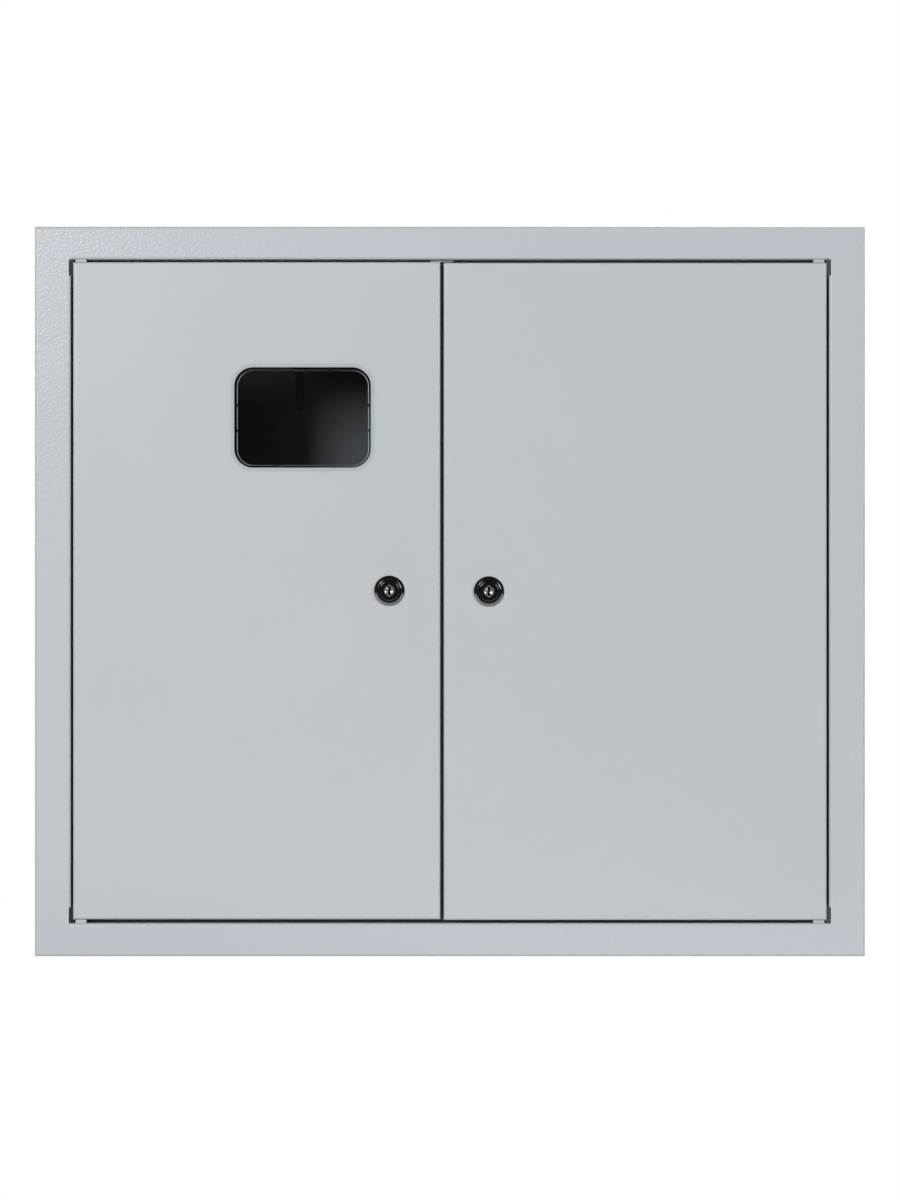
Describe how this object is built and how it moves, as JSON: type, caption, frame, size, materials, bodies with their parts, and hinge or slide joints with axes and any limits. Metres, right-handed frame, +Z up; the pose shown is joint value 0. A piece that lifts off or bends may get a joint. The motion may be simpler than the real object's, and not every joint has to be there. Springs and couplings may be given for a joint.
{
  "type": "electrical cabinet",
  "caption": "Flush-mounted sheet-steel electrical cabinet with a rim frame, hinged doors with cam locks, a meter window, device rails and a recess box.",
  "frame": {"origin": "centre of the four rear fixing holes, on the outer face of the back", "axes": "+X to the right seen from the front, +Y to the rear into the wall, +Z up"},
  "size_m": [0.62, 0.168, 0.545],
  "materials": {
    "paint": "light grey powder coat with a fine orange-peel texture",
    "dark_paint": "dark grey satin powder coat",
    "zinc": "zinc-plated steel",
    "nylon": "light grey moulded nylon",
    "clear": "clear moulded plastic, polished",
    "black": "glossy black",
    "nickel": "nickel-plated",
    "brass": "plain brass",
    "blue": "blue moulded insulator",
    "green": "green moulded foot"
  },
  "bodies": {
    "cabinet": {"recess_box": "paint", "front_frame": "paint", "centre_post": "paint", "upper_left_hinge_pin": "zinc", "lower_left_hinge_pin": "zinc", "upper_right_hinge_pin": "zinc", "lower_right_hinge_pin": "zinc", "hinge_washers": "nylon", "meter_bracket_left": "zinc", "meter_bracket_right": "zinc", "meter_plate": "dark_paint", "incoming_rail": "zinc", "rail_upright_left": "zinc", "rail_upright_right": "zinc", "cover": "paint", "cover_posts": "zinc", "neutral_bar": "brass", "neutral_bar_feet": "blue", "earth_bar": "brass", "earth_bar_feet": "green", "earth_stud": "zinc", "earth_nut": "zinc", "device_rail_1": "zinc", "device_rail_2": "zinc", "device_rail_3": "zinc", "device_rail_4": "zinc"},
    "left_door": {"left_door": "paint", "window": "clear", "left_lock_body": "black", "left_lock_nut": "zinc"},
    "right_door": {"right_door": "paint", "right_lock_body": "black", "right_lock_nut": "zinc"},
    "left_lock": {"left_lock_plug": "nickel", "left_lock_cam": "zinc"},
    "right_lock": {"right_lock_plug": "nickel", "right_lock_cam": "zinc"}
  },
  "joints": [
    {"name": "left_door_hinge", "type": "hinge", "parent": "cabinet", "child": "left_door", "pos_m": [-0.2756, -0.1598, 0], "axis": [0, 0, -1], "range_deg": [0, 110]},
    {"name": "right_door_hinge", "type": "hinge", "parent": "cabinet", "child": "right_door", "pos_m": [0.2756, -0.1598, 0], "axis": [0, 0, 1], "range_deg": [0, 110]},
    {"name": "left_lock_turn", "type": "hinge", "parent": "left_door", "child": "left_lock", "pos_m": [-0.04515, -0.165, 0.0005], "axis": [0, -1, 0], "range_deg": [0, 90]},
    {"name": "right_lock_turn", "type": "hinge", "parent": "right_door", "child": "right_lock", "pos_m": [0.02915, -0.165, 0], "axis": [0, 1, 0], "range_deg": [0, 90]}
  ]
}
